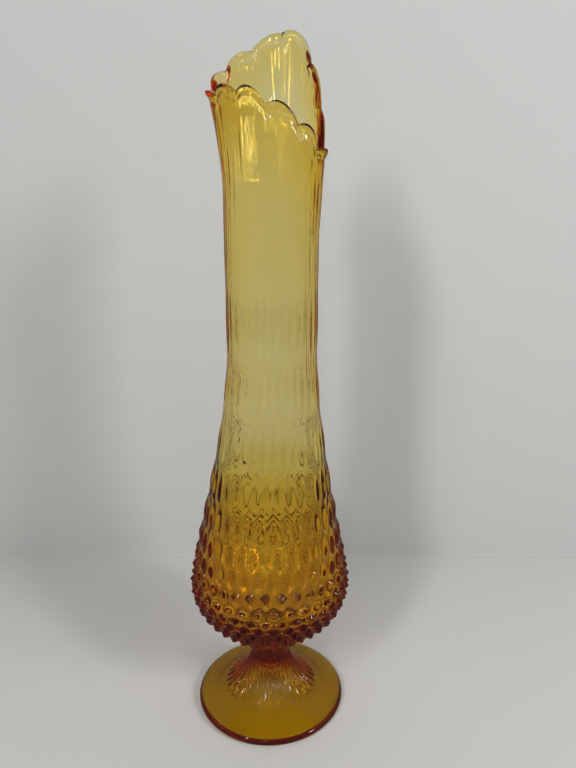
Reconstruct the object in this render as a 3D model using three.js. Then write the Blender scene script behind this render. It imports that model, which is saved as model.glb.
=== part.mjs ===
import * as THREE from 'three';

// Swung vase in amber glass: a fluted foot, a plain stem, and a body that runs from the hobnail
// bowl through the drawn-out neck to the scalloped lip. Millimetres, +Z up. The origin is the
// centre of the ring that the foot stands on. Azimuth 0 is the front, -Y, and grows towards +X.

// Foot
const footRadius = 50.6;
const footEdgeHeight = 5.8;
const footEdgeRounding = 2.9;
const footHeight = 39;
const standRingOuter = 44.5;
const standRingInner = 41.5;
const footHollowHeight = 24;
const footHollowPower = 1.6;
const flangeRise = 3.5;
const flangeSweep = 1.6;
const fluteEndRadius = 32.5;
const fluteCount = 36;
const fluteDepth = 1.8;
const fluteEndPower = 12;
const fluteStart = 0.12;
const trumpetThroat = 0.2;
const trumpetThroatShare = 0.4;
const trumpetKnee = 11.7;
const trumpetKneeShare = 0.4;

// Stem
const stemRadius = 13.2;
const stemWaistRadius = 12.8;
const stemLength = 12;
const jointGap = 0.3;

// Bowl and its hobs
const bowlRadius = 54.2;
const bowlDepth = 41.4;
const bowlFullness = 0.92;
const bowlWall = 9;
const bowlFloor = 10.5;
const hobCount = 34;
const hobRatio = 0.32;
const hobTip = 0.15;
const hobRowPitch = 0.85;
const hobAzimuth = 4.2;
const hobMargin = 5.4;
const rowOffset = 0.24;
const lowerRowAngle = 9.3;
const lowerRowShrink = 0.96;
const upperRowHeight = 8.2;
const upperRowStretch = 1.25;
const hobFade = 0.86;

// Neck
const neckRadius = 28.6;
const neckWall = 2.3;
const taperHeight = 157;
const taperShoulder = 1.2;
const taperFall = 1.75;
const wallFadeStart = 8;
const wallFadeHeight = 104;
const neckSway = 2.4;
const swayStart = 15;
const swayHeight = 150;
const ribHeight = 225;

// Lip: its scallops, counted from the front towards +X. Each starts at a notch, given by its
// azimuth in degrees and its level from the middle height of the lip. It rises above the line
// to the next notch, and curls outwards.
const lipHeight = 400;
const lipScallops = [
  { notch: -34, level: -9, rise: 5.5, curl: 2 },
  { notch: -3.5, level: -16, rise: 5.5, curl: 2 },
  { notch: 31, level: -25.5, rise: 5, curl: 2.8 },
  { notch: 58, level: -36, rise: 1.5, curl: 4.5 },
  { notch: 82, level: -36.5, rise: 5, curl: 0.8 },
  { notch: 107, level: -9, rise: 6, curl: 1.5 },
  { notch: 130, level: 18.5, rise: 9.5, curl: 4.5 },
  { notch: 168, level: 37.5, rise: 4.8, curl: 2 },
  { notch: 204, level: 27, rise: 5, curl: 2.6 },
  { notch: 236, level: 13.5, rise: 3.6, curl: 4.2 },
  { notch: 265, level: -1, rise: 1, curl: 5 },
  { notch: 294, level: -7, rise: 4.5, curl: 2.4 },
];
const scallopPower = 0.72;
const scallopCurlLength = 6;
const lipFlare = 3.8;
const lipFlareLength = 55;
const lipFlareSkew = 0.35;
const lipFlareAzimuth = -95;
const lipWall = 4.6;
const lipWallLength = 60;

const { PI, sin, cos, pow, sqrt, abs, exp, log, hypot, round } = Math;
const turn = 2 * PI;
const fullTurn = 360;
const radians = THREE.MathUtils.degToRad;
const smooth = THREE.MathUtils.smoothstep;
const mix = THREE.MathUtils.lerp;

const bodyBase = footHeight + stemLength + 2 * jointGap;
const widestHeight = bodyBase + bowlDepth;

const point = (azimuth, radius, height) =>
  new THREE.Vector3(radius * sin(azimuth), -radius * cos(azimuth), height);

// A ring is a closed loop of points with the azimuth of each one.
function ring(azimuths, place) {
  return { azimuths, points: azimuths.map(place) };
}

const evenAzimuths = (count, start = 0) =>
  Array.from({ length: count }, (_, i) => start + (turn * i) / count);

const sameAzimuth = 1e-6;

// One closed skin through a list of rings, with a pole at each end. Neighbouring rings may have
// different numbers of points: each strip is stitched by walking both rings by azimuth. Between
// rings of the same azimuths the diagonals alternate, so that every hob stays symmetric.
function skin(rings, firstPole, lastPole) {
  const positions = [];
  const index = [];
  const add = (p) => positions.push(p.x, p.y, p.z) / 3 - 1;
  const loops = rings.map((r) => ({ azimuths: r.azimuths, ids: r.points.map(add) }));
  const first = add(firstPole);
  const last = add(lastPole);
  const azimuthAt = (loop, i) =>
    loop.azimuths[i % loop.ids.length] + turn * Math.floor(i / loop.ids.length);
  const idAt = (loop, i) => loop.ids[i % loop.ids.length];
  for (let k = 0; k + 1 < loops.length; k += 1) {
    const low = loops[k];
    const high = loops[k + 1];
    let i = 0;
    let j = 0;
    while (i < low.ids.length || j < high.ids.length) {
      const ahead = azimuthAt(low, i) + azimuthAt(low, i + 1)
        - azimuthAt(high, j) - azimuthAt(high, j + 1);
      const lowFirst = abs(ahead) < sameAzimuth ? (i + k) % 2 === 0 : ahead < 0;
      if (j >= high.ids.length || (i < low.ids.length && lowFirst)) {
        index.push(idAt(low, i), idAt(low, i + 1), idAt(high, j));
        i += 1;
      } else {
        index.push(idAt(low, i), idAt(high, j + 1), idAt(high, j));
        j += 1;
      }
    }
  }
  const bottom = loops[0].ids;
  const top = loops[loops.length - 1].ids;
  bottom.forEach((id, i) => index.push(first, bottom[(i + 1) % bottom.length], id));
  top.forEach((id, i) => index.push(last, id, top[(i + 1) % top.length]));
  const geometry = new THREE.BufferGeometry();
  geometry.setAttribute('position', new THREE.Float32BufferAttribute(positions, 3));
  geometry.setIndex(index);
  geometry.computeVertexNormals();
  return geometry;
}

// Foot: the top of the fluted cone falls from the stem to the flange in a trumpet curve.
const flangeTop = footEdgeHeight + flangeRise;
const fluteTop = new THREE.CubicBezierCurve(
  new THREE.Vector2(stemRadius, footHeight),
  new THREE.Vector2(
    stemRadius + trumpetThroat,
    mix(footHeight, footEdgeHeight, trumpetThroatShare),
  ),
  new THREE.Vector2(
    mix(stemRadius, fluteEndRadius, trumpetKneeShare),
    footEdgeHeight + trumpetKnee,
  ),
  new THREE.Vector2(fluteEndRadius, flangeTop),
);

function footGeometry() {
  const fluteColumns = evenAzimuths(fluteCount * 4);
  const plainColumns = evenAzimuths(fluteCount * 2);
  const hollowColumns = evenAzimuths(fluteCount);
  const rings = [];
  const plain = (radius, height) =>
    rings.push(ring(plainColumns, (azimuth) => point(azimuth, radius, height)));
  // Underside: the hollow, the flat ring that the vase stands on, and the edge, which sweeps up
  // from that ring and rounds over onto the flange.
  for (const share of [0.12, 0.3, 0.48, 0.66, 0.83]) {
    const height = footHollowHeight * pow((1 + cos(PI * share)) / 2, footHollowPower);
    rings.push(ring(hollowColumns, (azimuth) => point(azimuth, standRingInner * share, height)));
  }
  plain(standRingInner, 0);
  plain(standRingOuter, 0);
  const edgeMiddle = footEdgeHeight - footEdgeRounding;
  for (const angle of [45, 90].map(radians)) {
    plain(mix(standRingOuter, footRadius, sin(angle)), edgeMiddle * (1 - cos(angle)));
  }
  const flangeEdge = footRadius - footEdgeRounding;
  for (const angle of [30, 60, 90].map(radians)) {
    plain(flangeEdge + footEdgeRounding * cos(angle), edgeMiddle + footEdgeRounding * sin(angle));
  }
  // Flange, then the convex flutes: each one ends in a rounded scallop on the flange.
  for (const share of [0.4, 0.72]) {
    const rise = pow(share, flangeSweep);
    plain(mix(flangeEdge, fluteEndRadius, share), mix(footEdgeHeight, flangeTop, rise));
  }
  for (const step of [1, 0.94, 0.8, 0.6, 0.36, 0.12]) {
    const { x: radius, y: height } = fluteTop.getPoint(step);
    const slope = fluteTop.getTangent(step);
    const grown = (fluteDepth * radius) / fluteEndRadius;
    const depth = grown * smooth(step, 0, fluteStart) * sqrt(1 - pow(step, fluteEndPower));
    rings.push(ring(fluteColumns, (azimuth) => {
      const valley = 1 - abs(cos((fluteCount * azimuth) / 2));
      return point(azimuth, radius + slope.y * depth * valley, height - slope.x * depth * valley);
    }));
  }
  plain(stemRadius, footHeight);
  return skin(rings, point(0, 0, footHollowHeight), point(0, 0, footHeight));
}

// Stem: a short solid waist, turned from its outline.
function stemGeometry() {
  const bottom = footHeight + jointGap;
  const waist = new THREE.QuadraticBezierCurve(
    new THREE.Vector2(stemRadius, bottom),
    new THREE.Vector2(2 * stemWaistRadius - stemRadius, bottom + stemLength / 2),
    new THREE.Vector2(stemRadius, bottom + stemLength),
  );
  const columns = evenAzimuths(fluteCount * 2);
  const rings = waist.getPoints(3).map(({ x, y }) =>
    ring(columns, (azimuth) => point(azimuth, x, y)));
  return skin(rings, point(0, 0, bottom), point(0, 0, bottom + stemLength));
}

// Bowl: below its widest ring the outline is an oval quarter that ends at the stem.
const ovalAngle = (radius) => Math.asin(pow(radius / bowlRadius, 1 / bowlFullness));
const bowlSemiHeight = bowlDepth / cos(ovalAngle(stemRadius));

// The outline is followed by a row number, 0 at the widest ring. Below it the rows step round
// the oval. Above it the swing has drawn each row out further than the last.
function rowHeightAbove(row) {
  return (upperRowHeight * (pow(upperRowStretch, row) - 1)) / (upperRowStretch - 1);
}

function rowAngleBelow(row) {
  return 90 - (lowerRowAngle * (1 - pow(lowerRowShrink, -row))) / (1 - lowerRowShrink);
}

function rowAtAngle(angle) {
  const steps = (90 - angle) / lowerRowAngle;
  return -log(1 - steps * (1 - lowerRowShrink)) / log(lowerRowShrink);
}

const firstRow = rowAtAngle(THREE.MathUtils.radToDeg(ovalAngle(stemRadius + hobMargin)));
const lastRow = log(1 + (ribHeight * (upperRowStretch - 1)) / upperRowHeight) / log(upperRowStretch);

function outerRadius(height) {
  const share = Math.min((height - widestHeight) / taperHeight, 1);
  const taper = pow(1 - pow(Math.max(share, 0), taperShoulder), taperFall);
  return neckRadius + (bowlRadius - neckRadius) * taper;
}

function outline(row) {
  if (row < 0) {
    const angle = radians(rowAngleBelow(row));
    return {
      radius: bowlRadius * pow(sin(angle), bowlFullness),
      height: widestHeight - bowlSemiHeight * cos(angle),
      normal: new THREE.Vector2(bowlSemiHeight * sin(angle), -bowlRadius * cos(angle)).normalize(),
    };
  }
  const height = widestHeight + rowHeightAbove(row);
  const rise = 0.5;
  const spread = outerRadius(height + rise) - outerRadius(height);
  return {
    radius: outerRadius(height),
    height,
    normal: new THREE.Vector2(rise, -spread).normalize(),
  };
}

// The neck leans a little to one side above the bowl, as the swing left it.
function swayed(azimuth, radius, height) {
  const p = point(azimuth, radius, height);
  p.x += neckSway * smooth(height - widestHeight, swayStart, swayStart + swayHeight);
  return p;
}

// Depth of the hollows between the hobs: a share of the pitch, less where the swing has
// stretched them, and nothing at the first and last row of the pattern.
function hobDepth(row, radius) {
  const pitch = (turn * radius) / hobCount;
  const drawn = pow(hobFade, Math.max(row - 1, 0));
  const ends = smooth(row, firstRow - 0.5, firstRow + 0.5) * smooth(-row, -lastRow, 1 - lastRow);
  return hobRatio * pitch * drawn * ends;
}

// The hobs are cones with rounded tips, packed like a honeycomb: 1 at each tip, 0 where three
// hobs meet. Every second row is shifted by half a pitch. Distances are in pitches.
const hobCone = (distance) => hypot(distance, hobTip) - hobTip;
const hobCorner = (1 / 4 + pow(hobRowPitch, 2)) / (2 * hobRowPitch);

function lattice(row, azimuth) {
  const distances = [0, 1].map((shift) => {
    const across = (hobCount * (azimuth - radians(hobAzimuth))) / turn - shift / 2;
    const up = (row - rowOffset - shift) / 2;
    return hypot(across - round(across), 2 * hobRowPitch * (up - round(up)));
  });
  return 1 - hobCone(Math.min(...distances)) / hobCone(hobCorner);
}

function hobRing(row, columns) {
  const { radius, height, normal } = outline(row);
  const depth = hobDepth(row, radius);
  return ring(evenAzimuths(columns, radians(hobAzimuth)), (azimuth) => {
    const sunk = depth * (1 - lattice(row, azimuth));
    return swayed(azimuth, radius - normal.x * sunk, height - normal.y * sunk);
  });
}

// The lip at a phase, which is a scallop's number plus the share of the way across it.
function lipAt(phase) {
  const number = Math.floor(phase);
  const share = phase - number;
  const here = lipScallops[number];
  const next = lipScallops[(number + 1) % lipScallops.length];
  const nextNotch = next.notch < here.notch ? next.notch + fullTurn : next.notch;
  const swell = pow(sin(PI * share), scallopPower);
  return {
    azimuth: radians(mix(here.notch, nextNotch, share)),
    top: lipHeight + mix(here.level, next.level, share) + here.rise * swell,
    curl: here.curl * swell,
  };
}

// Outer radius of the neck at a height, with the flare and the curl that follow the lip.
function flaredRadius({ azimuth, top, curl }, height) {
  const below = Math.max(top - height, 0);
  const lean = 1 + lipFlareSkew * cos(azimuth - radians(lipFlareAzimuth));
  const flare = lipFlare * lean * smooth(-below, -lipFlareLength, 0);
  return outerRadius(height) + flare + curl * exp(-below / scallopCurlLength);
}

// A ring that follows the lip: share 0 lies level at the top of the ribs, share 1 on the lip.
const ribTop = widestHeight + ribHeight;
const lipBead = lipWall / 2;

function lipRing(share, drop, perScallop, insetAt) {
  const phases = Array.from({ length: lipScallops.length * perScallop }, (_, i) => i / perScallop);
  const lip = phases.map(lipAt);
  return ring(lip.map(({ azimuth }) => azimuth), (azimuth, i) => {
    const height = mix(ribTop, lip[i].top - drop, share);
    const inset = insetAt(lip[i].top - height);
    return swayed(azimuth, flaredRadius(lip[i], height) - inset, height);
  });
}

// Wall measured in from the tips of the hobs: thick in the bowl and thin in the neck, which the
// swing drew out the most. It thickens again towards the lip.
function wallAt(height) {
  return mix(bowlWall, neckWall, smooth(height - widestHeight, wallFadeStart, wallFadeHeight));
}

const lipWallAt = (below) => mix(lipWall, neckWall, smooth(below, 0, lipWallLength));

function bodyGeometry() {
  const fine = hobCount * 4;
  const coarse = hobCount * 2;
  const rings = [ring(evenAzimuths(coarse), (azimuth) => point(azimuth, stemRadius, bodyBase))];
  // Outside: hobs from the stem up, finest where the bowl is widest.
  const finestFrom = rowOffset - 5;
  const finestTo = rowOffset + 4;
  const tipRow = rowOffset + Math.ceil(firstRow - rowOffset);
  for (let row = tipRow; row < lastRow - 0.25; row += 0.5) {
    const columns = row < finestFrom || row > finestTo ? coarse : fine;
    rings.push(hobRing(row, columns));
  }
  rings.push(ring(evenAzimuths(coarse), (azimuth) => swayed(azimuth, neckRadius, ribTop)));
  for (const share of [0.3, 0.6, 0.82, 0.94]) {
    rings.push(lipRing(share, lipBead, 8, () => 0));
  }
  // Over the lip: a rounded bead as thick as the wall below it.
  for (const angle of [0, 45, 90, 135, 180].map(radians)) {
    rings.push(lipRing(1, lipBead * (1 - sin(angle)), 8, () => lipBead * (1 - cos(angle))));
  }
  // Inside: back down the neck, then round the floor of the bowl.
  for (const share of [0.94, 0.75, 0.4]) {
    rings.push(lipRing(share, lipBead, 4, lipWallAt));
  }
  const inner = evenAzimuths(lipScallops.length * 4, radians(lipScallops[0].notch));
  for (const share of [1, 0.7, 0.48, 0.32, 0.2, 0.1, 0]) {
    const height = mix(widestHeight, ribTop, share);
    rings.push(ring(inner, (azimuth) =>
      swayed(azimuth, outerRadius(height) - wallAt(height), height)));
  }
  const floorDepth = bowlDepth - bowlFloor;
  for (const angle of [72, 54, 36, 18].map(radians)) {
    const radius = (bowlRadius - bowlWall) * sin(angle);
    const height = widestHeight - floorDepth * cos(angle);
    rings.push(ring(inner, (azimuth) => point(azimuth, radius, height)));
  }
  return skin(rings, point(0, 0, bodyBase), point(0, 0, widestHeight - floorDepth));
}

const glass = (color) =>
  new THREE.MeshStandardMaterial({ color, roughness: 0.06, transparent: true, opacity: 0.6 });

const sections = {
  foot: [footGeometry(), 0x96690f],
  stem: [stemGeometry(), 0x8a5a0a],
  body: [bodyGeometry(), 0xa8903c],
};

const vase = new THREE.Group();
for (const [name, [geometry, color]] of Object.entries(sections)) {
  const mesh = new THREE.Mesh(geometry, glass(color));
  mesh.name = name;
  vase.add(mesh);
}

export default vase;
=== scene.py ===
import math
import bpy
import numpy as np
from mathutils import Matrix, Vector


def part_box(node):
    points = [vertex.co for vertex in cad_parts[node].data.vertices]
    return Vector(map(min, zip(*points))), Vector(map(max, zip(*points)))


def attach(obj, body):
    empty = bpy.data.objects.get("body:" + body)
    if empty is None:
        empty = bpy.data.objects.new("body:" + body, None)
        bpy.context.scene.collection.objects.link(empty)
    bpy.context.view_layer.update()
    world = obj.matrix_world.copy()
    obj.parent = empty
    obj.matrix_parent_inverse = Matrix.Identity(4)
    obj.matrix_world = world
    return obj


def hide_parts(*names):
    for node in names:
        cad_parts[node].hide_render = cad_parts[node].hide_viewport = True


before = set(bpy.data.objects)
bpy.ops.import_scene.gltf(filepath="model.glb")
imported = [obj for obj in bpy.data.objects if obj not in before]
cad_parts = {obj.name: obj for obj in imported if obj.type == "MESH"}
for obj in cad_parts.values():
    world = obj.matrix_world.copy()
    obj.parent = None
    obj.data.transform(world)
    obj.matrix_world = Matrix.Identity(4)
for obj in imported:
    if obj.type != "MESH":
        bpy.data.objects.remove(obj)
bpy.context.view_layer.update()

# Camera
# A phone at arm's length, a little above the middle of the vase and to its right, tipped down
# until the whole vase stands in the frame.
photo_height = 768
focal_length = 577
camera_place = Vector((0.0123, -0.3588, 0.3058))
camera_tip = math.radians(12.49)

camera = bpy.data.objects.new("camera", bpy.data.cameras.new("camera"))
camera.data.lens = camera.data.sensor_width * focal_length / photo_height
camera.location = camera_place
camera.rotation_euler = (math.pi / 2 - camera_tip, 0, 0)
bpy.context.collection.objects.link(camera)
bpy.context.scene.camera = camera
bpy.context.scene.view_settings.view_transform = "Standard"

# Light takes many turns inside the thick glass before it comes out.
glass_bounces = 48
light_paths = bpy.context.scene.cycles
light_paths.max_bounces = glass_bounces
light_paths.glossy_bounces = glass_bounces
light_paths.transmission_bounces = glass_bounces

# Table and backdrop
# A sheet of pale paper lies under the vase, and one stands behind it. The standing sheet is given
# a darker colour, which is painted shade for the lower light on it. From behind, the wall shows
# nothing, so that it never hides the vase. Neither is mirrored in the gloss of the glass, where it
# would lay a grey veil over the foot and the hobs.
table_color = (0.53, 0.525, 0.51)
# Painted shade: the wall's colour is darker than the table's to stand for the lower light on it.
shaded_wall_color = (0.462, 0.462, 0.455)
paper_roughness = 0.9
paper_gloss = 0.1
table_drop = 0.0001
fold_lift = 0.0002
wall_place = 0.193
fold_radius = 0.001
wall_height = 3.0
table_half = 3.0


def paper_material(name, color, see_through):
    material = bpy.data.materials.new(name)
    material.use_nodes = True
    nodes = material.node_tree.nodes
    links = material.node_tree.links
    shader = nodes["Principled BSDF"]
    shader.inputs["Base Color"].default_value = (*color, 1)
    shader.inputs["Roughness"].default_value = paper_roughness
    shader.inputs["Specular IOR Level"].default_value = paper_gloss
    if see_through:
        clear = nodes.new("ShaderNodeBsdfTransparent")
        side = nodes.new("ShaderNodeNewGeometry")
        mixed = nodes.new("ShaderNodeMixShader")
        links.new(side.outputs["Backfacing"], mixed.inputs["Fac"])
        links.new(shader.outputs[0], mixed.inputs[1])
        links.new(clear.outputs[0], mixed.inputs[2])
        links.new(mixed.outputs[0], nodes["Material Output"].inputs["Surface"])
    return material


def sheet_mesh(name, outline, material):
    """A sheet that follows an outline of (y, z) points and runs straight along X."""
    mesh = bpy.data.meshes.new(name)
    points = [(x, y, z) for y, z in outline for x in (-table_half, table_half)]
    faces = [(2 * i, 2 * i + 1, 2 * i + 3, 2 * i + 2) for i in range(len(outline) - 1)]
    mesh.from_pydata(points, [], faces)
    mesh.shade_smooth()
    mesh.materials.append(material)
    piece = bpy.data.objects.new(name, mesh)
    bpy.context.collection.objects.link(piece)
    piece.visible_glossy = False
    return piece


table_sheet = sheet_mesh(
    "table_sheet",
    [(-table_half, -table_drop), (table_half, -table_drop)],
    paper_material("table_paper", table_color, see_through=False),
)
fold = [
    (
        wall_place - fold_radius + fold_radius * math.sin(angle),
        fold_lift + fold_radius * (1 - math.cos(angle)),
    )
    for angle in np.linspace(0, math.pi / 2, 9)
]
wall_sheet = sheet_mesh(
    "wall_sheet",
    [*fold, (wall_place, wall_height)],
    paper_material("wall_paper", shaded_wall_color, see_through=True),
)

# Light
# Two tall lamps at the left and right throw the soft shadows and draw the streaks on the neck,
# and a wide one above lights the table. A small lamp and three windows draw the glints. The
# room is dim in the gloss of the glass and pale where it is seen, also through the glass.
room_color = (0.97, 0.985, 1.0)
room_strength = 0.03
ceiling_strength = 0.2
gloss_strength = 0.15
backdrop_strength = 0.45
ceiling_start = 0.15
ceiling_full = 0.8

world = bpy.data.worlds.new("room")
world.use_nodes = True
sky = world.node_tree.nodes
background = sky["Background"]
background.inputs["Color"].default_value = (*room_color, 1)
direction = sky.new("ShaderNodeTexCoord")
upwards = sky.new("ShaderNodeSeparateXYZ")
glow = sky.new("ShaderNodeMapRange")
glow.interpolation_type = "SMOOTHSTEP"
for name, value in (
    ("From Min", ceiling_start),
    ("From Max", ceiling_full),
    ("To Min", room_strength),
    ("To Max", ceiling_strength),
):
    glow.inputs[name].default_value = value
world.node_tree.links.new(direction.outputs["Generated"], upwards.inputs["Vector"])
world.node_tree.links.new(upwards.outputs["Z"], glow.inputs["Value"])
calm = sky.new("ShaderNodeMix")
calm.inputs["B"].default_value = gloss_strength
seen = sky.new("ShaderNodeLightPath")
through = sky.new("ShaderNodeMath")
through.operation = "MAXIMUM"
pale = sky.new("ShaderNodeMix")
pale.inputs["B"].default_value = backdrop_strength
world.node_tree.links.new(seen.outputs["Is Camera Ray"], through.inputs[0])
world.node_tree.links.new(seen.outputs["Is Transmission Ray"], through.inputs[1])
world.node_tree.links.new(through.outputs["Value"], pale.inputs["Factor"])
world.node_tree.links.new(seen.outputs["Is Glossy Ray"], calm.inputs["Factor"])
world.node_tree.links.new(glow.outputs["Result"], calm.inputs["A"])
world.node_tree.links.new(calm.outputs["Result"], pale.inputs["A"])
world.node_tree.links.new(pale.outputs["Result"], background.inputs["Strength"])
bpy.context.scene.world = world


def lamp(name, place, target, width, height, power):
    light = bpy.data.lights.new(name, "AREA")
    light.shape = "RECTANGLE"
    light.size = width
    light.size_y = height
    light.energy = power
    piece = bpy.data.objects.new(name, light)
    piece.location = place
    piece.rotation_euler = (Vector(target) - Vector(place)).to_track_quat("-Z", "Y").to_euler()
    bpy.context.collection.objects.link(piece)
    return piece


# A lamp's name, place, target, width, height and power in watts.
vase_middle = (0, 0, 0.22)
foot_middle = (0, 0, 0.05)
table_middle = (0, 0, 0)
soft_lamps = [
    ("left_soft_lamp", (-0.6, -1.1, 0.92), vase_middle, 0.16, 0.5, 9),
    ("right_soft_lamp", (1.0, -0.85, 0.85), vase_middle, 0.22, 0.5, 10),
    ("high_soft_lamp", (0, -0.6, 1.5), table_middle, 0.6, 0.6, 3),
]
glint_lamps = [
    ("front_lamp", (-0.1, -1.1, 0.72), foot_middle, 0.12, 0.12, 1.5),
    ("left_window", (-0.82, -1.13, 1.3), vase_middle, 0.05, 0.3, 1.7),
    ("low_window", (-0.82, -1.13, 0.66), vase_middle, 0.06, 0.12, 0.34),
    ("right_window", (1.24, -0.66, 0.745), vase_middle, 0.2, 0.26, 3.5),
]
for lamps, mirrored in ((soft_lamps, False), (glint_lamps, True)):
    for values in lamps:
        lamp(*values).visible_glossy = mirrored

# Outline of the vase
# The whole vase is one mass of glass, so it is one closed skin. Its outline is a list of rings
# from the middle of the underside, up the outside, over the lip and down to the inner floor.
# Each ring is in millimetres. A ring carries what the pattern of its height needs.
METRES = 0.001
foot_low, foot_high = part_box("foot")
stem_low, stem_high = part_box("stem")
body_low, body_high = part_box("body")
foot_radius = foot_high.x / METRES
foot_height = foot_high.z / METRES
stem_radius = stem_high.x / METRES
body_base = body_low.z / METRES

RING_VALUES = (
    "radius", "height", "normal_out", "normal_up",
    "row", "hob_depth", "flute_depth", "lip_share", "inset", "inner", "drop",
    "drawn", "side",
)
rings = []


def add_ring(radius, height, **values):
    rings.append({"radius": radius, "height": height, **values})


def mix(start, end, share):
    return start + (end - start) * share


def smooth(value, start, end):
    share = min(max((value - start) / (end - start), 0), 1)
    return share * share * (3 - 2 * share)


# Foot
# A round pressed foot, hollow below, fire-polished at its edge. It stands on a ground ring, and
# its top rises to the stem in a trumpet of convex flutes. The recess inside the ring leaves the
# flange a little thinner than the solid's, which keeps its colour light.
edge_height = 5.8
edge_rounding = 2.9
stand_outer = 44.5
stand_inner = 41.5
hollow_recess = 2.0
recess_edge = 0.2
hollow_height = 22.0
hollow_power = 1.6
flange_rise = 3.5
flange_sweep = 1.6
flute_count = 36
flute_end_radius = 32.5
flute_depth = 1.8
flute_end_power = 12
flute_start = 0.12
trumpet_throat = 0.2
trumpet_throat_share = 0.6
trumpet_knee = 11.7
trumpet_knee_share = 0.4

for share in [*np.linspace(0, 0.8, 9), 0.86, 0.9, 0.94, 0.97, 1]:
    rise = (1 + math.cos(math.pi * share)) / 2
    recess = hollow_recess * smooth(1 - share, 0, recess_edge)
    add_ring(stand_inner * share, recess + hollow_height * rise**hollow_power)
add_ring(mix(stand_inner, stand_outer, 0.5), 0)
edge_middle = edge_height - edge_rounding
for angle in np.radians(np.linspace(0, 80, 9)):
    add_ring(
        mix(stand_outer, foot_radius, math.sin(angle)),
        edge_middle * (1 - math.cos(angle)),
    )
for angle in np.radians(np.linspace(0, 90, 10)):
    add_ring(
        foot_radius - edge_rounding * (1 - math.cos(angle)),
        edge_middle + edge_rounding * math.sin(angle),
    )
flange_top = edge_height + flange_rise
trumpet = [
    Vector((flute_end_radius, flange_top)),
    Vector((mix(stem_radius, flute_end_radius, trumpet_knee_share), edge_height + trumpet_knee)),
    Vector((stem_radius + trumpet_throat, mix(edge_height, foot_height, trumpet_throat_share))),
    Vector((stem_radius, foot_height)),
]


def trumpet_point(share):
    a, b, c, d = trumpet
    rest = 1 - share
    return a * rest**3 + b * 3 * share * rest**2 + c * 3 * share**2 * rest + d * share**3


for share in (0.15, 0.3, 0.45, 0.6, 0.75, 0.9):
    add_ring(
        mix(foot_radius - edge_rounding, flute_end_radius, share),
        mix(edge_height, flange_top, share**flange_sweep),
    )
for share in np.linspace(0, 0.96, 18) ** 1.25:
    spot = trumpet_point(share)
    slope = (trumpet_point(share + 0.01) - spot).normalized()
    fade = smooth(1 - share, 0, flute_start) * math.sqrt(1 - (1 - share) ** flute_end_power)
    add_ring(
        spot.x,
        spot.y,
        normal_out=slope.y,
        normal_up=-slope.x,
        flute_depth=flute_depth * spot.x / flute_end_radius * fade,
    )

# Stem
# A short solid waist of plain glass, where the bowl was fused to the foot. It narrows a little
# in the middle.
stem_waist_radius = 12.8

for share in np.linspace(0, 1, 5):
    waist = (stem_radius - stem_waist_radius) * math.sin(math.pi * share)
    add_ring(stem_radius - waist, mix(foot_height, body_base, share))

# Bowl
# A round bowl pressed with rows of pointed hobs, each row shifted by half a hob from the next.
# Above the widest row the hot glass was swung, which drew the rows out further and further.
bowl_radius = 54.2
bowl_depth = 41.4
bowl_fullness = 0.92
hob_count = 34
hob_ratio = 0.32
hob_tip = 0.13
hob_sag = 1.6
hob_row_pitch = 0.85
hob_azimuth = 4.2
hob_margin = 5.4
row_offset = 0.24
lower_row_angle = 9.3
lower_row_shrink = 0.96
upper_row_height = 8.2
upper_row_stretch = 1.25
hob_fade = 0.86
neck_radius = 28.6
taper_height = 157.0
taper_shoulder = 1.2
taper_fall = 1.75
rib_height = 225.0
streak_start = 150.0
streak_full = 240.0

widest_height = body_base + bowl_depth


def oval_angle(radius):
    return math.asin((radius / bowl_radius) ** (1 / bowl_fullness))


bowl_semi_height = bowl_depth / math.cos(oval_angle(stem_radius))


def row_at_radius(radius):
    steps = (90 - math.degrees(oval_angle(radius))) / lower_row_angle
    return -math.log(1 - steps * (1 - lower_row_shrink)) / math.log(lower_row_shrink)


def outer_radius(height):
    share = min(max((height - widest_height) / taper_height, 0), 1)
    taper = (1 - share**taper_shoulder) ** taper_fall
    return neck_radius + (bowl_radius - neck_radius) * taper


first_row = row_at_radius(stem_radius + hob_margin)
stretch = upper_row_stretch - 1
last_row = math.log(1 + rib_height * stretch / upper_row_height) / math.log(upper_row_stretch)


def outline_at(row):
    """Radius, height and outward normal of the bowl at a row, 0 being the widest ring."""
    if row < 0:
        turned = lower_row_angle * (1 - lower_row_shrink**-row) / (1 - lower_row_shrink)
        angle = math.radians(90 - turned)
        normal = Vector((bowl_semi_height * math.sin(angle), -bowl_radius * math.cos(angle)))
        radius = bowl_radius * math.sin(angle) ** bowl_fullness
        return radius, widest_height - bowl_semi_height * math.cos(angle), normal.normalized()
    height = widest_height + upper_row_height * (upper_row_stretch**row - 1) / stretch
    spread = outer_radius(height + 0.5) - outer_radius(height)
    return outer_radius(height), height, Vector((0.5, -spread)).normalized()


lower_angles = np.linspace(0.25, 0.9, 4)
for share in lower_angles:
    angle = mix(oval_angle(stem_radius), oval_angle(stem_radius + hob_margin), share)
    add_ring(
        bowl_radius * math.sin(angle) ** bowl_fullness,
        widest_height - bowl_semi_height * math.cos(angle),
    )
tip_row = row_offset + math.ceil(first_row - row_offset)
# The rings stand closest where the hobs begin to be drawn out, and furthest where they fade.
pattern_rows = np.concatenate([
    np.arange(tip_row, row_offset, 1 / 8),
    np.arange(row_offset, row_offset + 4, 1 / 10),
    np.arange(row_offset + 4, row_offset + 5, 1 / 8),
    np.arange(row_offset + 5, last_row, 1 / 6),
])
for row in pattern_rows:
    radius, height, normal = outline_at(row)
    pitch = 2 * math.pi * radius / hob_count
    ends = smooth(row, first_row - 0.5, first_row + 0.5) * smooth(last_row - row, 0, 1)
    add_ring(
        radius,
        height,
        normal_out=normal.x,
        normal_up=normal.y,
        row=row,
        hob_depth=hob_ratio * pitch * hob_fade ** max(row - 1, 0) * ends,
        drawn=smooth(height, streak_start, streak_full),
    )

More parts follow.
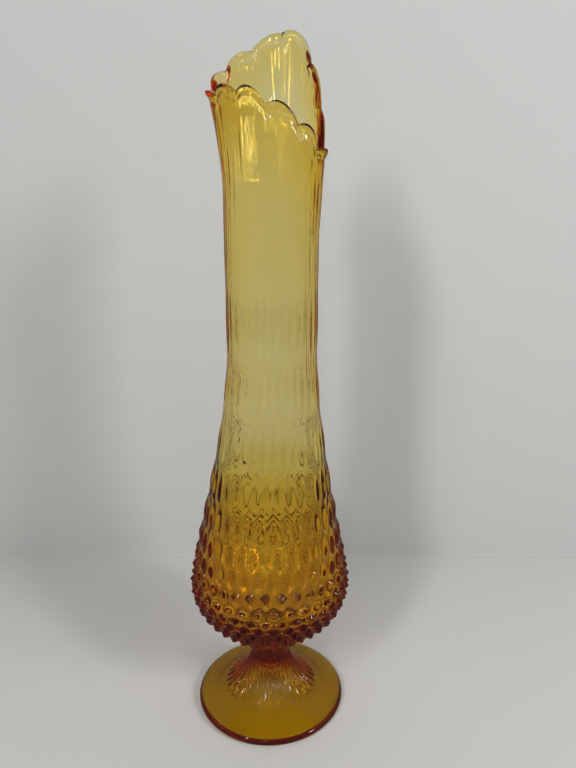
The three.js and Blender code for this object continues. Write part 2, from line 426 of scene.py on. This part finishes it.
# Neck and lip
# The neck was drawn out by swinging until its ribs faded. The mouth was left slanted, with
# twelve scallops from the crimping tool, each starting at a notch: its azimuth, its level from
# the middle height of the lip, the scallop's rise and how far it curls outwards.
lip_height = 399.96
lip_scallops = [
    (-34, -9, 5.5, 2),
    (-3.5, -16, 5.5, 2),
    (31, -25.5, 5, 2.8),
    (58, -36, 1.5, 4.5),
    (82, -36.5, 5, 0.8),
    (107, -9, 6, 1.5),
    (130, 18.5, 9.5, 4.5),
    (168, 37.5, 4.8, 2),
    (204, 27, 5, 2.6),
    (236, 13.5, 3.6, 4.2),
    (265, -1, 1, 5),
    (294, -7, 4.5, 2.4),
]
scallop_power = 0.72
scallop_curl_length = 6.0
lip_flare = 3.8
lip_flare_length = 55.0
lip_flare_skew = 0.35
lip_flare_azimuth = -95
neck_wall = 2.3
lip_wall = 4.6
lip_wall_length = 60.0
lip_bead = lip_wall / 2
bead_waist = 5.0
bead_waist_width = 2.0
bead_waist_depth = 0.7
neck_sway = 2.4
sway_start = 15.0
sway_height = 150.0
streaks_round = 130
streak_length = 60.0
streak_depth = 0.3
streak_seed = 3.0
inner_streak_shift = 7.0
streak_end = 0.1

rib_top = widest_height + rib_height
neck_steps = 1 - (1 - np.linspace(0.03, 0.96, 28)) ** 1.6
for share in neck_steps:
    streaked = smooth(1 - share, 0, streak_end)
    add_ring(neck_radius, rib_top, lip_share=share, drop=lip_bead, drawn=streaked)
for angle in np.radians(np.linspace(0, 180, 9)):
    add_ring(
        neck_radius,
        rib_top,
        lip_share=1,
        inset=lip_bead * (1 - math.cos(angle)),
        side=(1 - math.cos(angle)) / 2,
        drop=lip_bead * (1 - math.sin(angle)),
    )

# Inside
# A smooth plunger pressed the inside, from the lip down to the floor of the bowl. The wall is
# thick in the bowl and thin in the neck, where the swing drew it out.
bowl_wall = 9.0
bowl_floor = 10.5
wall_fade_start = 8.0
wall_fade_height = 104.0

for share in [*neck_steps[:18:2], *neck_steps[18:]][::-1]:
    streaked = smooth(1 - share, 0, streak_end)
    add_ring(
        neck_radius, rib_top, lip_share=share, inner=1, drop=lip_bead, drawn=streaked, side=1
    )
for share in np.linspace(1, 0, 16):
    height = mix(widest_height, rib_top, share)
    wall = mix(bowl_wall, neck_wall, smooth(height - widest_height, wall_fade_start, wall_fade_height))
    drawn = smooth(height, streak_start, streak_full)
    add_ring(outer_radius(height) - wall, height, drawn=drawn, side=1)
for angle in np.radians(np.linspace(82, 0, 11)):
    add_ring(
        (bowl_radius - bowl_wall) * math.sin(angle),
        widest_height - (bowl_depth - bowl_floor) * math.cos(angle),
    )

# Round the vase
# The skin has ten columns to each hob. Each column holds its azimuth and, above it, the height
# and the outward curl of the lip, which come from the scallop that it falls in.
COLUMN_VALUES = ("azimuth", "lip_top", "lip_curl")
columns_per_hob = 10
column_count = hob_count * columns_per_hob
columns = []
notches = np.array([*lip_scallops, (lip_scallops[0][0] + 360, *lip_scallops[0][1:])])
for azimuth in np.linspace(hob_azimuth, hob_azimuth + 360, column_count + 1):
    wrapped = (azimuth - notches[0, 0]) % 360 + notches[0, 0]
    number = int(np.searchsorted(notches[:, 0], wrapped, side="right")) - 1
    start, end = notches[number], notches[number + 1]
    share = (wrapped - start[0]) / (end[0] - start[0])
    swell = max(math.sin(math.pi * share), 0) ** scallop_power
    columns.append({
        "azimuth": math.radians(azimuth),
        "lip_top": lip_height + mix(start[1], end[1], share) + start[2] * swell,
        "lip_curl": start[3] * swell,
    })


def guide(name, points, values):
    """An object with one vertex for each point, which carries the point's values."""
    mesh = bpy.data.meshes.new(name)
    mesh.from_pydata([(0, 0, 0)] * len(points), [], [])
    for value in values:
        attribute = mesh.attributes.new(value, "FLOAT", "POINT")
        attribute.data.foreach_set("value", [p.get(value, 0.0) for p in points])
    piece = bpy.data.objects.new(name, mesh)
    bpy.context.collection.objects.link(piece)
    return piece


ring_guide = guide("ring_guide", rings, RING_VALUES)
column_guide = guide("column_guide", columns, COLUMN_VALUES)


# Skin
# Geometry Nodes spread a grid over the rings and columns, press the hobs and the flutes into
# it, draw the lip up and out, and let the neck lean as the swing left it.
class Field:
    """A number in the node tree, so that a rule can be written as it reads."""

    def __init__(self, tree, socket):
        self.tree = tree
        self.socket = socket

    def into(self, slot):
        self.tree.links.new(self.socket, slot)

    def by(self, operation, *others):
        node = self.tree.nodes.new("ShaderNodeMath")
        node.operation = operation
        for slot, value in zip(node.inputs, (self, *others)):
            if isinstance(value, Field):
                value.into(slot)
            else:
                slot.default_value = value
        return Field(self.tree, node.outputs[0])

    def __add__(self, other):
        return self.by("ADD", other)

    def __sub__(self, other):
        return self.by("SUBTRACT", other)

    def __mul__(self, other):
        return self.by("MULTIPLY", other)

    def __truediv__(self, other):
        return self.by("DIVIDE", other)

    def __pow__(self, other):
        return self.by("POWER", other)

    def from_one(self):
        return (self * -1) + 1

    def smooth(self, start, end):
        node = self.tree.nodes.new("ShaderNodeMapRange")
        node.interpolation_type = "SMOOTHSTEP"
        self.into(node.inputs["Value"])
        for name, value in (("From Min", start), ("From Max", end)):
            if isinstance(value, Field):
                value.into(node.inputs[name])
            else:
                node.inputs[name].default_value = value
        return Field(self.tree, node.outputs["Result"])


sizes = {
    "Hobs Round": hob_count,
    "Hob Azimuth": math.radians(hob_azimuth),
    "Hob Tip": hob_tip,
    "Hob Sag": hob_sag,
    "Hob Row Pitch": hob_row_pitch,
    "Row Offset": row_offset,
    "Flutes Round": flute_count,
    "Lip Flare": lip_flare,
    "Flare Length": lip_flare_length,
    "Flare Skew": lip_flare_skew,
    "Flare Azimuth": math.radians(lip_flare_azimuth),
    "Curl Length": scallop_curl_length,
    "Neck Wall": neck_wall,
    "Lip Wall": lip_wall,
    "Lip Wall Length": lip_wall_length,
    "Bead Waist": bead_waist,
    "Bead Waist Width": bead_waist_width,
    "Bead Waist Depth": bead_waist_depth,
    "Neck Sway": neck_sway,
    "Sway Start": widest_height + sway_start,
    "Sway End": widest_height + sway_start + sway_height,
    "Streaks Round": streaks_round,
    "Streak Length": streak_length,
    "Streak Depth": streak_depth,
    "Streak Seed": streak_seed,
}

tree = bpy.data.node_groups.new("swung_vase", "GeometryNodeTree")
tree.interface.new_socket("Geometry", in_out="INPUT", socket_type="NodeSocketGeometry")
tree.interface.new_socket("Column Guide", in_out="INPUT", socket_type="NodeSocketObject")
tree.interface.new_socket("Glass", in_out="INPUT", socket_type="NodeSocketMaterial")
for name in sizes:
    tree.interface.new_socket(name, in_out="INPUT", socket_type="NodeSocketFloat")
tree.interface.new_socket("Geometry", in_out="OUTPUT", socket_type="NodeSocketGeometry")
given = tree.nodes.new("NodeGroupInput")
size = {name: Field(tree, given.outputs[name]) for name in sizes}

column_info = tree.nodes.new("GeometryNodeObjectInfo")
tree.links.new(given.outputs["Column Guide"], column_info.inputs["Object"])
grid = tree.nodes.new("GeometryNodeMeshGrid")
grid.inputs["Vertices X"].default_value = len(columns)
grid.inputs["Vertices Y"].default_value = len(rings)
index = Field(tree, tree.nodes.new("GeometryNodeInputIndex").outputs[0])
column_number = (index / len(rings)).by("FLOOR")
ring_number = index - column_number * len(rings)


def sampled(guide_socket, name, number):
    """One named value of a guide's point, chosen by its number."""
    value = tree.nodes.new("GeometryNodeInputNamedAttribute")
    value.data_type = "FLOAT"
    value.inputs["Name"].default_value = name
    sample = tree.nodes.new("GeometryNodeSampleIndex")
    sample.data_type = "FLOAT"
    tree.links.new(guide_socket, sample.inputs["Geometry"])
    tree.links.new(value.outputs["Attribute"], sample.inputs["Value"])
    number.into(sample.inputs["Index"])
    return Field(tree, sample.outputs["Value"])


at_ring = {n: sampled(given.outputs["Geometry"], n, ring_number) for n in RING_VALUES}
at_column = {
    n: sampled(column_info.outputs["Geometry"], n, column_number) for n in COLUMN_VALUES
}
azimuth = at_column["azimuth"]
sine, cosine = azimuth.by("SINE"), azimuth.by("COSINE")

# Hobs and flutes are pressed in from the smooth outline, along its normal.
def cone(square):
    """A cone with a rounded tip, from the square of the distance to its axis."""
    tip = size["Hob Tip"]
    return (square + tip * tip).by("SQRT") - tip


hob_number = (azimuth - size["Hob Azimuth"]) * size["Hobs Round"] / math.tau
row_number = at_ring["row"] - size["Row Offset"]
row_pitch = size["Hob Row Pitch"]
squares = []
for shift in (0, 1):
    across = (hob_number - shift / 2).by("WRAP", 0.5, -0.5)
    up = (row_number - shift).by("WRAP", 1.0, -1.0) * row_pitch
    squares.append(across * across + up * up)
corner = (row_pitch * row_pitch + 0.25) / (row_pitch * 2)
nearest = squares[0].by("MINIMUM", squares[1])
lattice = (cone(nearest) / cone(corner * corner)).from_one().by("MAXIMUM", 0.0) ** size["Hob Sag"]
valley = (azimuth * size["Flutes Round"] * 0.5).by("COSINE").by("ABSOLUTE").from_one()
sunk = at_ring["hob_depth"] * lattice.from_one() + at_ring["flute_depth"] * valley
pressed_radius = at_ring["radius"] - at_ring["normal_out"] * sunk
pressed_height = at_ring["height"] - at_ring["normal_up"] * sunk

# Lip: the ring is drawn up to the lip's own level, and flares and curls out below it.
lip_share = at_ring["lip_share"]
lip_level = at_column["lip_top"] - at_ring["drop"]
height = pressed_height + (lip_level - pressed_height) * lip_share
below = (at_column["lip_top"] - height).by("MAXIMUM", 0.0)
lean = (azimuth - size["Flare Azimuth"]).by("COSINE") * size["Flare Skew"] + 1
flare = size["Lip Flare"] * lean * (below * -1).smooth(size["Flare Length"] * -1, 0.0)
curl = at_column["lip_curl"] * (below / size["Curl Length"] * -1).by("EXPONENT")
on_lip = lip_share.by("GREATER_THAN", 0.0)
thinned = below.smooth(0.0, size["Lip Wall Length"])
wall = size["Lip Wall"] + (size["Neck Wall"] - size["Lip Wall"]) * thinned
from_waist = (below - size["Bead Waist"]) / size["Bead Waist Width"]
waist = size["Bead Waist Depth"] * (from_waist * from_waist * -1).by("EXPONENT") * on_lip
on_bead = below.smooth(0.0, size["Bead Waist"] / 2)
inset = at_ring["inset"] + at_ring["inner"] * wall
inset = inset + waist * on_bead * (at_ring["side"] * -2 + 1)
radius = pressed_radius + (flare + curl) * on_lip - inset

# Fine upright streaks, which the swing drew into the neck, outside and inside.
streak_place = tree.nodes.new("ShaderNodeCombineXYZ")
around = size["Streaks Round"] / math.tau
(sine * around).into(streak_place.inputs["X"])
(cosine * around).into(streak_place.inputs["Y"])
(height / size["Streak Length"]).into(streak_place.inputs["Z"])
streaks = tree.nodes.new("ShaderNodeTexNoise")
streaks.noise_dimensions = "4D"
streaks.inputs["Scale"].default_value = 1.0
streaks.inputs["Detail"].default_value = 1.0
tree.links.new(streak_place.outputs["Vector"], streaks.inputs["Vector"])
(size["Streak Seed"] + at_ring["side"] * inner_streak_shift).into(streaks.inputs["W"])
streak = (Field(tree, streaks.outputs[0]) - 0.5) * size["Streak Depth"] * 2
radius = radius + streak * at_ring["drawn"]
sway = size["Neck Sway"] * height.smooth(size["Sway Start"], size["Sway End"])

place = tree.nodes.new("ShaderNodeCombineXYZ")
((radius * sine + sway) * METRES).into(place.inputs["X"])
(radius * cosine * -METRES).into(place.inputs["Y"])
(height * METRES).into(place.inputs["Z"])
move = tree.nodes.new("GeometryNodeSetPosition")
tree.links.new(grid.outputs["Mesh"], move.inputs["Geometry"])
tree.links.new(place.outputs["Vector"], move.inputs["Position"])
merge = tree.nodes.new("GeometryNodeMergeByDistance")
merge.inputs["Distance"].default_value = 1e-6
tree.links.new(move.outputs["Geometry"], merge.inputs["Geometry"])
smooth_faces = tree.nodes.new("GeometryNodeSetShadeSmooth")
tree.links.new(merge.outputs["Geometry"], smooth_faces.inputs["Geometry"])
realize = tree.nodes.new("GeometryNodeRealizeInstances")
tree.links.new(smooth_faces.outputs["Geometry"], realize.inputs["Geometry"])
paint = tree.nodes.new("GeometryNodeSetMaterial")
tree.links.new(realize.outputs["Geometry"], paint.inputs["Geometry"])
tree.links.new(given.outputs["Glass"], paint.inputs["Material"])
result = tree.nodes.new("NodeGroupOutput")
tree.links.new(paint.outputs["Geometry"], result.inputs["Geometry"])

# Amber glass
# Soda-lime glass coloured in the melt, so the colour is in its depth: thin parts are pale straw
# and thick parts dark amber.
glass_index = 1.5
glass_tint = (0.932, 0.8, 0.0)
glass_density = 320

glass = bpy.data.materials.new("amber_glass")
glass.use_nodes = True
shader = glass.node_tree.nodes["Principled BSDF"]
shader.inputs["Base Color"].default_value = (1, 1, 1, 1)
shader.inputs["Roughness"].default_value = 0.0
shader.inputs["IOR"].default_value = glass_index
shader.inputs["Transmission Weight"].default_value = 1.0
absorption = glass.node_tree.nodes.new("ShaderNodeVolumeAbsorption")
absorption.inputs["Color"].default_value = (*glass_tint, 1)
absorption.inputs["Density"].default_value = glass_density
glass.node_tree.links.new(
    absorption.outputs["Volume"], glass.node_tree.nodes["Material Output"].inputs["Volume"]
)

modifier = ring_guide.modifiers.new("swung_vase", "NODES")
modifier.node_group = tree
socket_ids = {
    item.name: item.identifier
    for item in tree.interface.items_tree
    if item.in_out == "INPUT"
}
for name, value in sizes.items():
    modifier[socket_ids[name]] = float(value)
modifier[socket_ids["Column Guide"]] = column_guide
modifier[socket_ids["Glass"]] = glass

bpy.context.view_layer.update()
graph = bpy.context.evaluated_depsgraph_get()
vase_mesh = bpy.data.meshes.new_from_object(ring_guide.evaluated_get(graph))
vase_mesh.name = "vase_glass"
vase = bpy.data.objects.new("vase_glass", vase_mesh)
bpy.context.collection.objects.link(vase)
for helper in (ring_guide, column_guide):
    bpy.data.objects.remove(helper)
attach(vase, "root")
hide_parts("foot", "stem", "body")
